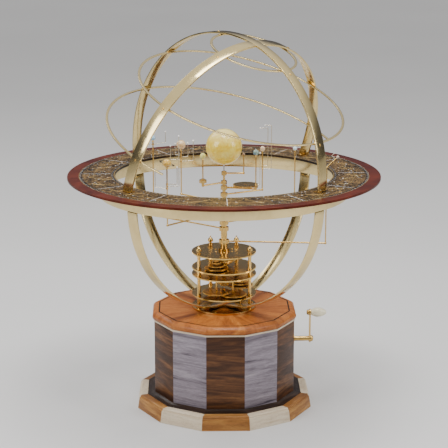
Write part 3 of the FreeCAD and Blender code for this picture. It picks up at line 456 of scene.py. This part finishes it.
def wire_tree():
    """Round wire along the given path, with its corners bent to a radius."""
    graph, given, out = new_tree("bent_wire", (("Bend", "Float"), ("Radius", "Float"), ("Sides", "Int"),
                                               ("Material", "Material")), takes_geometry=True)
    bent = graph.add("GeometryNodeFilletCurve", {"Curve": given["Geometry"], "Radius": given["Bend"],
                                                 "Limit Radius": True, "Count": 7}, mode="POLY")
    section = graph.add("GeometryNodeCurvePrimitiveCircle", {"Resolution": given["Sides"],
                                                             "Radius": given["Radius"]})
    wire = graph.add("GeometryNodeCurveToMesh", {"Curve": bent.outputs[0],
                                                 "Profile Curve": section.outputs[0], "Fill Caps": True})
    return finish_tree(graph, wire.outputs[0], given, out)


def marks_tree():
    """Equal bars set radially round the Z axis, such as the degrees of a dial."""
    graph, given, out = new_tree("radial_marks", (("Count", "Int"), ("Radius", "Float"), ("Size", "Vector"),
                                                  ("Level", "Float"), ("Material", "Material")))
    places = graph.add("GeometryNodeMeshCircle", {"Vertices": given["Count"], "Radius": given["Radius"]})
    bar = graph.add("GeometryNodeMeshCube", {"Size": given["Size"]})
    where = graph.add("GeometryNodeInputPosition")
    turn = graph.add("FunctionNodeAlignRotationToVector", {"Vector": where.outputs[0]}, axis="X")
    bars = graph.add("GeometryNodeInstanceOnPoints", {"Points": places.outputs[0],
                                                      "Instance": bar.outputs[0],
                                                      "Rotation": turn.outputs[0]})
    raise_by = graph.add("ShaderNodeCombineXYZ", {"Z": given["Level"]})
    placed = graph.add("GeometryNodeTransform", {"Geometry": bars.outputs[0],
                                                 "Translation": raise_by.outputs[0]})
    return finish_tree(graph, placed.outputs[0], given, out)


def studs_tree():
    """Small round studs of mixed size on the given points."""
    sockets = (("Smallest", "Float"), ("Largest", "Float"), ("Height", "Float"), ("Seed", "Int"),
               ("Material", "Material"))
    graph, given, out = new_tree("round_studs", sockets, takes_geometry=True)
    stud = graph.add("GeometryNodeMeshCylinder", {"Vertices": 12, "Radius": 1.0, "Depth": 1.0})
    radius = graph.add("FunctionNodeRandomValue", {2: given["Smallest"], 3: given["Largest"],
                                                   "Seed": given["Seed"]}, data_type="FLOAT")
    size = graph.add("ShaderNodeCombineXYZ", {"X": radius.outputs[1], "Y": radius.outputs[1],
                                              "Z": given["Height"]})
    studs = graph.add("GeometryNodeInstanceOnPoints", {"Points": given["Geometry"],
                                                       "Instance": stud.outputs[0],
                                                       "Scale": size.outputs[0]})
    return finish_tree(graph, studs.outputs[0], given, out)


def grown(tree, values, source=None):
    """Mesh that a tree makes from its inputs: the source object and its modifier are gone afterwards."""
    if source is None:
        source = bpy.data.objects.new("source", bpy.data.meshes.new("source"))
    bpy.context.scene.collection.objects.link(source)
    modifier = source.modifiers.new("shape", "NODES")
    modifier.node_group = tree
    for item in tree.interface.items_tree:
        if item.in_out == "INPUT" and item.name in values:
            value = values[item.name]
            modifier[item.identifier] = bpy.data.materials[value] if item.name == "Material" else value
    source.update_tag()
    graph = bpy.context.evaluated_depsgraph_get()
    mesh = bpy.data.meshes.new_from_object(source.evaluated_get(graph))
    bpy.data.objects.remove(source)
    return mesh


def path_object(routes):
    """Curve object with one poly spline for each route, in millimetres."""
    curve = bpy.data.curves.new("path", "CURVE")
    curve.dimensions = "3D"
    for route in routes:
        spline = curve.splines.new("POLY")
        spline.points.add(len(route) - 1)
        for point, place in zip(spline.points, route):
            point.co = (*(place * MM), 1.0)
    return bpy.data.objects.new("path", curve)


def point_object(places):
    mesh = bpy.data.meshes.new("points")
    mesh.from_pydata([place * MM for place in places], [], [])
    return bpy.data.objects.new("points", mesh)


# ================================================================ meshes
def lathe(profile, material_name, steps=64, foot=Vector(), axis=UP):
    """Turned mesh. The profile's (radius, height) pairs either end on the axis or go round a closed ring."""
    form = bmesh.new()
    turn = UP.rotation_difference(axis).to_matrix()
    rows = []
    for radius, height in profile:
        count = steps if radius > 1e-6 else 1
        row = []
        for step in range(count):
            angle = 2.0 * math.pi * step / steps
            spot = Vector((radius * math.cos(angle), radius * math.sin(angle), height))
            row.append(form.verts.new((foot + turn @ spot) * MM))
        rows.append(row)
    closed = profile[0][0] > 1e-6
    pairs = list(zip(rows, rows[1:] + rows[:1] if closed else rows[1:]))
    for low, high in pairs:
        for step in range(steps):
            after = (step + 1) % steps
            corners = [low[step % len(low)], low[after % len(low)], high[after % len(high)],
                       high[step % len(high)]]
            form.faces.new(list(dict.fromkeys(corners)))
    bmesh.ops.recalc_face_normals(form, faces=form.faces)
    return to_mesh(form, material_name)


def ball_profile(radius, steps=32):
    profile = [(radius * math.sin(math.pi * step / steps), -radius * math.cos(math.pi * step / steps))
               for step in range(steps + 1)]
    profile[0] = (0.0, -radius)
    profile[-1] = (0.0, radius)
    return profile


def to_mesh(form, material_name):
    mesh = bpy.data.meshes.new("form")
    form.to_mesh(mesh)
    form.free()
    mesh.materials.append(bpy.data.materials[material_name])
    return mesh


def slot_of(node):
    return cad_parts[node].material_slots[0].material.name


def softened(node, width, segments=2):
    """Copy of a frame node with its edges eased by a small bevel, width in millimetres."""
    form = bmesh.new()
    form.from_mesh(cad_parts[node].data)
    bmesh.ops.remove_doubles(form, verts=form.verts, dist=1e-6)
    bmesh.ops.dissolve_limit(form, angle_limit=math.radians(0.5), verts=form.verts, edges=form.edges)
    edges = [edge for edge in form.edges
             if edge.is_manifold and edge.calc_face_angle(0.0) > SHARP_EDGE]
    bmesh.ops.bevel(form, geom=edges, offset=width * MM, segments=segments, profile=0.6, affect="EDGES",
                    clamp_overlap=True)
    return to_mesh(form, slot_of(node))


def piece(name, meshes, body, replaced=()):
    """One visible piece: its meshes joined, riding on a body of the frame."""
    form = bmesh.new()
    finishes = []
    for mesh in meshes:
        start = len(form.faces)
        form.from_mesh(mesh)
        finish = mesh.materials[0]
        if finish not in finishes:
            finishes.append(finish)
        form.faces.ensure_lookup_table()
        for face in form.faces[start:]:
            face.material_index = finishes.index(finish)
        bpy.data.meshes.remove(mesh)
    joined = bpy.data.meshes.new(name)
    form.to_mesh(joined)
    form.free()
    for finish in finishes:
        joined.materials.append(finish)
    joined.shade_smooth()
    joined.set_sharp_from_angle(angle=SHADING_BREAK)
    made = bpy.data.objects.new(name, joined)
    bpy.context.scene.collection.objects.link(made)
    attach(made, body)
    if replaced:
        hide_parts(*replaced)
    return made


# ================================================================ pieces
def make_case(settings):
    eased = settings.edge_ease / MM
    for node in ("plinth_walnut_staves", "plinth_maple_staves", "cove_and_floor", "box_walnut_staves",
                 "box_pale_staves", "cap_moulding"):
        piece(node + "_eased", [softened(node, eased)], "stand", (node,))


def make_tower():
    piece("cradle_bands_eased", [softened("cradle_bands", BAND_EASE)], "stand",
          ("cradle_bands",))
    piece("tower_plates_eased", [softened("tower_plates", 0.12, 1)], "stand", ("tower_plates",))
    piece("bed_plate_eased", [softened("bed_plate", 0.3)], "stand", ("bed_plate",))


def ring_values(radius, thick, width, finish, edge=0.3, steps=256, start=0.0, sweep=360.0, closed=True):
    return {"Radius": radius * MM, "Thickness": thick * MM, "Width": width * MM, "Edge": edge * MM,
            "Start": math.radians(start), "Sweep": math.radians(sweep), "Steps": steps, "Closed": closed,
            "Material": finish}


def tilted(offset):
    """Place of a circle square to the tilted axis, with its X towards the low side."""
    turn = Matrix((ALONG, ACROSS, AXIS)).transposed().to_4x4()
    return Matrix.Translation((SPHERE_CENTRE + AXIS * offset) * MM) @ turn


def make_armillary():
    tree = band_tree()
    hoop_width = RING_BOTTOM - HOOP_BOTTOM
    hoop = grown(tree, ring_values(HOOP_RADIUS, BAND_THICK, hoop_width, "polished_brass", 0.4, 360))
    hoop.transform(Matrix.Translation(UP * (HOOP_BOTTOM + hoop_width / 2) * MM))
    piece("horizon_hoop_rolled", [hoop], "stand", ("horizon_hoop",))
    for name, offset in (("tropic_circle", TROPIC_OFFSET), ("polar_circle", POLAR_OFFSET),
                         ("equator_arc", EQUATOR_OFFSET)):
        inside = SPHERE_RADIUS - BAND_THICK / 2
        middle = math.sqrt(inside ** 2 - (offset + CIRCLE_THICK / 2) ** 2) - CIRCLE_WIDTH / 2
        whole = name != "equator_arc"
        values = ring_values(middle, CIRCLE_WIDTH, CIRCLE_THICK, "polished_brass", BAND_EASE, 256,
                             180.0 - EQUATOR_SWEEP / 2, EQUATOR_SWEEP, whole)
        circle = grown(tree, values)
        circle.transform(tilted(offset))
        piece(name + "_bent", [circle], "stand", (name,))
    for name in ("standing_colure", "leaning_colure"):
        piece(name + "_eased", [softened(name, BAND_EASE)], "stand", (name,))


def zodiac_figures(settings):
    """Star points and joining strokes of twelve made-up constellations, one in each sign."""
    chance = random.Random(settings.star_seed)
    routes = []
    stars = []
    for sign in range(SIGNS):
        centre = SIGN_ANGLE * (sign + 0.5)
        count = chance.randint(6, 8)
        route = []
        for step in range(count):
            spread = -11.0 + 22.0 * step / (count - 1)
            radius = FIGURE_RADIUS + 15.0 * math.sin(1.9 * step + sign) + chance.uniform(-4.0, 4.0)
            route.append(at(radius, centre + spread + chance.uniform(-1.5, 1.5), RING_TOP))
        routes.append(route)
        branch = route[count // 2]
        routes.append([branch, branch + Vector((chance.uniform(-9, 9), chance.uniform(-9, 9), 0.0))])
        stars += route + [routes[-1][1]]
    for _ in range(settings.small_stars):
        stars.append(at(chance.uniform(ART_INNER, ART_OUTER), chance.uniform(0.0, 360.0), RING_TOP))
    return routes, stars


def make_zodiac_ring(settings):
    half = (RING_TOP - RING_BOTTOM) / 2
    ease = 0.5
    profile = [(RING_INNER, -half + ease), (RING_INNER + ease, -half), (RING_OUTER - ease, -half),
               (RING_OUTER, -half + ease), (RING_OUTER, half - ease), (RING_OUTER - ease, half),
               (RING_INNER + ease, half), (RING_INNER, half - ease)]
    body = lathe(profile, "patinated_brass", 360, UP * (RING_TOP - half))
    piece("zodiac_ring_turned", [body], "stand", ("zodiac_ring",))
    marks = marks_tree()
    level = RING_TOP * MM
    dial = []
    for count, radius, length, wide in DIAL_MARKS:
        size = (length * MM, wide * MM, 0.12 * MM)
        dial.append(grown(marks, {"Count": count, "Radius": radius * MM, "Size": size, "Level": level,
                                  "Material": "gilding"}))
    lines = band_tree()
    for radius, wide in DIAL_LINES:
        line = grown(lines, ring_values(radius, wide, 0.14, "gilding", 0.02, 256))
        line.transform(Matrix.Translation(UP * level))
        dial.append(line)
    piece("zodiac_dial_lines", dial, "stand")
    routes, stars = zodiac_figures(settings)
    strokes = grown(wire_tree(), {"Bend": 0.001, "Radius": 0.22 * MM, "Sides": 6, "Material": "gilding"},
                    path_object(routes))
    studs = grown(studs_tree(), {"Smallest": 0.35 * MM, "Largest": 1.0 * MM, "Height": 0.25 * MM,
                                 "Seed": settings.star_seed, "Material": "white_enamel"}, point_object(stars))
    piece("zodiac_stars", [strokes, studs], "stand")


def make_planets():
    for name, (orbit, azimuth, radius, height) in PLANETS.items():
        centre = at(orbit, azimuth, height)
        stone = name + "_stone"
        globe = lathe(ball_profile(radius), stone, 48, centre)
        seat = lathe(GLOBE_SEAT, "brass", 24, centre - UP * radius)
        meshes = [globe, seat] if name != "pluto" else [globe]
        if name == "saturn":
            inner, outer, thick = SATURN_RING
            edge = [(inner, -0.3 * thick), (inner + 0.2, -0.5 * thick), (outer - 0.2, -0.5 * thick),
                    (outer, -0.3 * thick), (outer, 0.3 * thick), (outer - 0.2, 0.5 * thick),
                    (inner + 0.2, 0.5 * thick), (inner, 0.3 * thick)]
            pole = direction(0.0, 90.0 - SATURN_RING_TILT)
            meshes.append(lathe(edge, "polished_brass", 96, centre, pole))
        piece(name + "_ball", meshes, name, (name + "_globe",))
    sun = lathe(ball_profile(SUN_RADIUS, 64), "sun_amber", 96, UP * SUN_HEIGHT)
    piece("sun_ball", [sun], "stand", ("sun_globe",))


def moon_piece(name, tree, routes, spot, along, bead_radius):
    """Bent wires, the collar they leave, and the bead at the end of the first wire."""
    wire = grown(tree, {"Bend": WIRE_BEND * MM, "Radius": WIRE_RADIUS * MM, "Sides": 12,
                        "Material": "moon_wire"}, path_object(routes))
    collar = lathe(COLLAR, "brass", 32, spot, along)
    bead = lathe(ball_profile(bead_radius, 16), "white_enamel", 24, routes[0][-1])
    piece(name + "_wire", [wire, collar, bead], name + "_moon", (name,))


def make_moons():
    tree = wire_tree()
    pluto_reach, pluto_azimuth, pluto_radius, pluto_height = PLANETS["pluto"]
    bend = at(PLUTO_ORBIT, pluto_azimuth, PLUTO_BEND)
    tip = at(pluto_reach, pluto_azimuth, pluto_height)
    lean = (tip - bend).normalized()
    spot = tip - lean * (pluto_radius + COLLAR_DROP)
    square = (UP - lean * UP.dot(lean)).normalized()
    corner = spot + square * CHARON_SPAN
    route = [spot + square * WIRE_START, corner, corner + lean * CHARON_RISE]
    moon_piece("charon", tree, [route], spot, lean, CHARON_RADIUS)
    for planet, name, radius, azimuth, level, top, bead_radius, hook, tail in MOONS:
        orbit, planet_azimuth, _, _ = PLANETS[planet]
        centre = at(orbit, planet_azimuth)
        out = direction(azimuth)
        corner = centre + out * radius + UP * level
        route = [centre + out * WIRE_START + UP * level, corner, corner + UP * (top - level)]
        if hook:
            route.append(route[-1] - out * hook)
        routes = [route]
        if tail:
            end = centre - out * tail + UP * level
            routes.append([centre - out * WIRE_START + UP * level, end, end + UP * TAIL_RISE])
        moon_piece(name, tree, routes, centre + UP * level, UP, bead_radius)


def make_crank():
    length = KNOB_LENGTH
    profile = [(2.05, 0.6), (2.05, 0.0), (4.4, 0.0), (4.75, 0.5), (4.9, 1.2)]
    for step in range(1, 17):
        share = step / 16
        along = 1.2 + share * (length - 2.6)
        swell = math.sin(math.pi * (0.12 + 0.80 * share))
        profile.append((3.2 + (KNOB_RADIUS - 3.4) * swell - 1.1 * share, along))
    profile += [(2.4, length - 0.5), (1.2, length - 0.1), (0.0, length)]
    profile.insert(0, (0.0, 0.6))
    knob = lathe(profile, "bone_knob", 72, CRANK_KNOB_START, Vector((1.0, 0.0, 0.0)))
    piece("crank_knob_turned", [knob], "knob", ("crank_knob",))


# ================================================================ stage
def studio_sky(power):
    """Surrounding light: bright above, dim at the horizon, as in a studio with a large overhead softbox."""
    world = bpy.data.worlds.new("studio")
    bpy.context.scene.world = world
    world.use_nodes = True
    world.node_tree.nodes.clear()
    graph = Graph(world.node_tree)
    outwards = graph.add("ShaderNodeTexCoord").outputs["Generated"]
    height = graph.add("ShaderNodeSeparateXYZ", {0: outwards}).outputs["Z"]
    tone = graph.ramp(graph.band(height, -1.0, 1.0), (0.0, (0.30, 0.30, 0.30)), (0.50, (0.06, 0.062, 0.08)),
                      (0.64, (0.13, 0.135, 0.16)), (0.85, (1.0, 1.0, 1.0)))
    light = graph.add("ShaderNodeBackground", {"Color": tone, "Strength": power})
    graph.add("ShaderNodeOutputWorld", {"Surface": light.outputs[0]})


def make_stage(settings):
    plaster_floor("floor", tuple(settings.floor_tone))
    form = bmesh.new()
    bmesh.ops.create_grid(form, x_segments=1, y_segments=1, size=FLOOR_SIZE)
    floor = bpy.data.objects.new("floor", to_mesh(form, "floor"))
    lights = []
    for name, place, size, power in LAMPS:
        lamp = bpy.data.lights.new(name, "AREA")
        lamp.size = size
        lamp.energy = power * settings.light_power
        holder = bpy.data.objects.new(name, lamp)
        holder.location = place
        holder.rotation_euler = (LAMP_AIM - Vector(place)).to_track_quat("-Z", "Y").to_euler()
        lights.append(holder)
    lens = bpy.data.cameras.new("camera")
    lens.lens = LENS
    lens.sensor_width = SENSOR
    camera = bpy.data.objects.new("camera", lens)
    camera.location = CAMERA_PLACE
    camera.rotation_euler = (math.radians(CAMERA_TILT), 0.0, math.radians(CAMERA_TURN))
    for made in [floor, camera] + lights:
        bpy.context.scene.collection.objects.link(made)
    bpy.context.scene.camera = camera
    studio_sky(settings.sky_power)


# ================================================================ settings, operators and panel
class OrrerySettings(bpy.types.PropertyGroup):
    edge_ease: FloatProperty(name="Edge ease", description="Rounding of the wooden edges",
                             default=0.45 * MM, min=0.05 * MM, max=1.5 * MM, subtype="DISTANCE")
    star_seed: IntProperty(name="Star seed", description="Seed of the made-up constellations", default=7)
    small_stars: IntProperty(name="Small stars", description="Number of small studs between the figures",
                             default=150, min=0, max=600)


class StageSettings(bpy.types.PropertyGroup):
    light_power: FloatProperty(name="Light power", description="Factor on every lamp", default=1.0,
                               min=0.0, soft_max=4.0, subtype="FACTOR")
    sky_power: FloatProperty(name="Sky power", description="Strength of the surrounding light", default=1.0,
                             min=0.0, soft_max=4.0, subtype="FACTOR")
    floor_tone: FloatVectorProperty(name="Floor tone", description="Colour of the floor", subtype="COLOR",
                                    size=3, default=(0.62, 0.61, 0.60), min=0.0, max=1.0)


class ORRERY_OT_case(bpy.types.Operator):
    """Build the wooden case with eased edges"""
    bl_idname = "orrery.case"
    bl_label = "Wooden case"

    def execute(self, context):
        make_case(context.scene.orrery)
        return {"FINISHED"}


class ORRERY_OT_tower(bpy.types.Operator):
    """Build the bed plate, tower plates and cradle with eased edges"""
    bl_idname = "orrery.tower"
    bl_label = "Gear tower and cradle"

    def execute(self, context):
        make_tower()
        return {"FINISHED"}


class ORRERY_OT_armillary(bpy.types.Operator):
    """Build the horizon hoop, colures and circles"""
    bl_idname = "orrery.armillary"
    bl_label = "Armillary bands"

    def execute(self, context):
        make_armillary()
        return {"FINISHED"}


class ORRERY_OT_zodiac(bpy.types.Operator):
    """Build the horizon ring with its dial lines and stars"""
    bl_idname = "orrery.zodiac"
    bl_label = "Zodiac ring"

    def execute(self, context):
        make_zodiac_ring(context.scene.orrery)
        return {"FINISHED"}


class ORRERY_OT_planets(bpy.types.Operator):
    """Turn the sun and the planets"""
    bl_idname = "orrery.planets"
    bl_label = "Sun and planets"

    def execute(self, context):
        make_planets()
        return {"FINISHED"}


class ORRERY_OT_moons(bpy.types.Operator):
    """Bend the moon wires and set their beads"""
    bl_idname = "orrery.moons"
    bl_label = "Moons"

    def execute(self, context):
        make_moons()
        return {"FINISHED"}


class ORRERY_OT_crank(bpy.types.Operator):
    """Turn the crank's knob"""
    bl_idname = "orrery.crank"
    bl_label = "Crank knob"

    def execute(self, context):
        make_crank()
        return {"FINISHED"}


class ORRERY_OT_stage(bpy.types.Operator):
    """Set up the floor, the lights and the camera"""
    bl_idname = "orrery.stage"
    bl_label = "Stage"

    def execute(self, context):
        make_stage(context.scene.orrery_stage)
        return {"FINISHED"}


OPERATORS = (ORRERY_OT_case, ORRERY_OT_tower, ORRERY_OT_armillary, ORRERY_OT_zodiac, ORRERY_OT_planets,
             ORRERY_OT_moons, ORRERY_OT_crank, ORRERY_OT_stage)


class ORRERY_PT_panel(bpy.types.Panel):
    bl_label = "Orrery"
    bl_idname = "ORRERY_PT_panel"
    bl_space_type = "VIEW_3D"
    bl_region_type = "UI"
    bl_category = "Orrery"

    def draw(self, context):
        settings = context.scene.orrery
        stage = context.scene.orrery_stage
        self.layout.prop(settings, "edge_ease")
        self.layout.prop(settings, "star_seed")
        self.layout.prop(settings, "small_stars")
        self.layout.prop(stage, "light_power")
        self.layout.prop(stage, "sky_power")
        self.layout.prop(stage, "floor_tone")
        for operator in OPERATORS:
            self.layout.operator(operator.bl_idname)


CLASSES = (OrrerySettings, StageSettings) + OPERATORS + (ORRERY_PT_panel,)


def register():
    for made in CLASSES:
        bpy.utils.register_class(made)
    bpy.types.Scene.orrery = PointerProperty(type=OrrerySettings)
    bpy.types.Scene.orrery_stage = PointerProperty(type=StageSettings)


def unregister():
    del bpy.types.Scene.orrery_stage
    del bpy.types.Scene.orrery
    for made in reversed(CLASSES):
        bpy.utils.unregister_class(made)


def main():
    register()
    make_materials()
    bpy.ops.orrery.case()
    bpy.ops.orrery.tower()
    bpy.ops.orrery.armillary()
    bpy.ops.orrery.zodiac()
    bpy.ops.orrery.planets()
    bpy.ops.orrery.moons()
    bpy.ops.orrery.crank()
    bpy.ops.orrery.stage()


if __name__ == "__main__":
    main()
